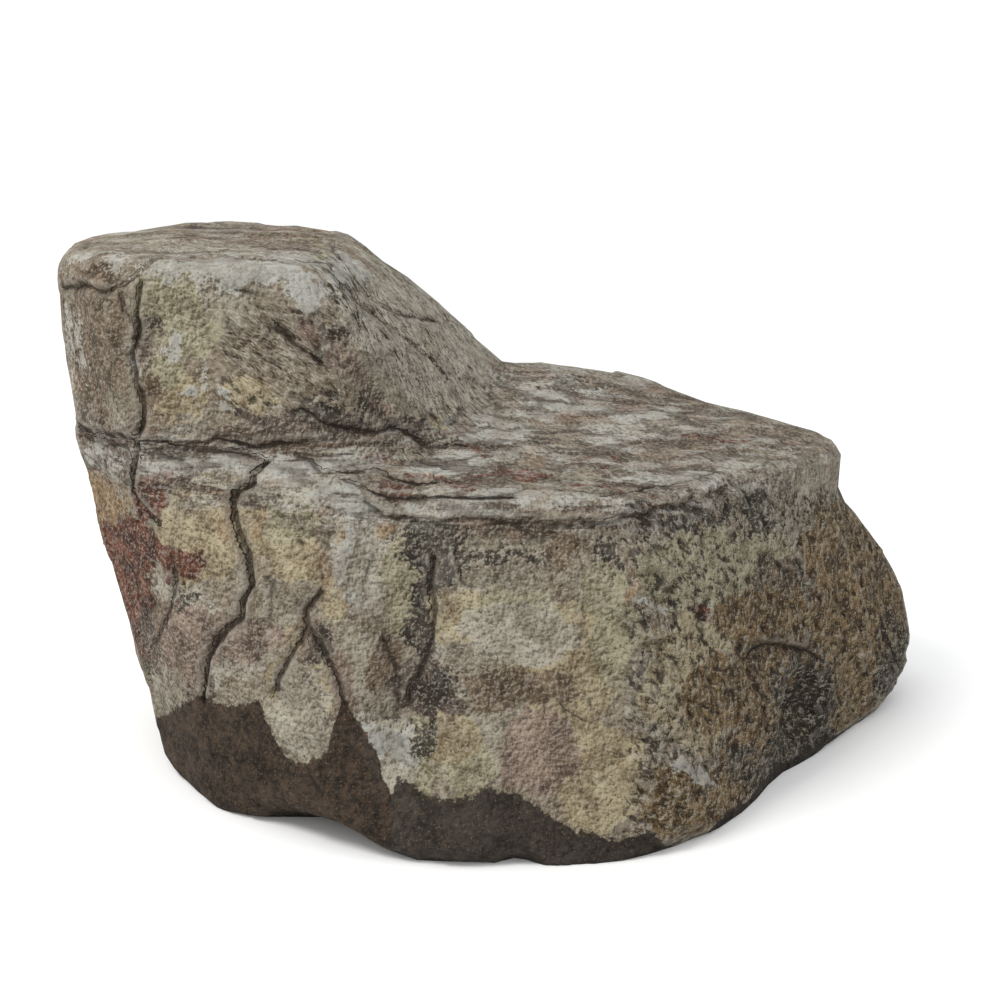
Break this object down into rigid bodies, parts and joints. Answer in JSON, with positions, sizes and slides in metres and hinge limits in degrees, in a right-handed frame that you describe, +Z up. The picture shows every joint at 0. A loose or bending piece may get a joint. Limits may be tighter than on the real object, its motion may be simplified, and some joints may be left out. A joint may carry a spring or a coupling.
{
  "type": "boulder",
  "caption": "Weathered landscape boulder shaped like a low seat: a tall head, a broad flat shelf beside it and a flat foot to rest on.",
  "frame": {"origin": "on the ground, under the middle of the stone's length and width", "axes": "+Z up, +X along the length from the tall head towards the shelf's end, the front towards -Y"},
  "size_m": [1.2908, 0.959, 0.7446],
  "materials": {
    "stone": "rough weathered sandstone, pale grey-green and ochre with brown and rust stains"
  },
  "bodies": {
    "root": {"boulder": "stone"}
  },
  "joints": []
}
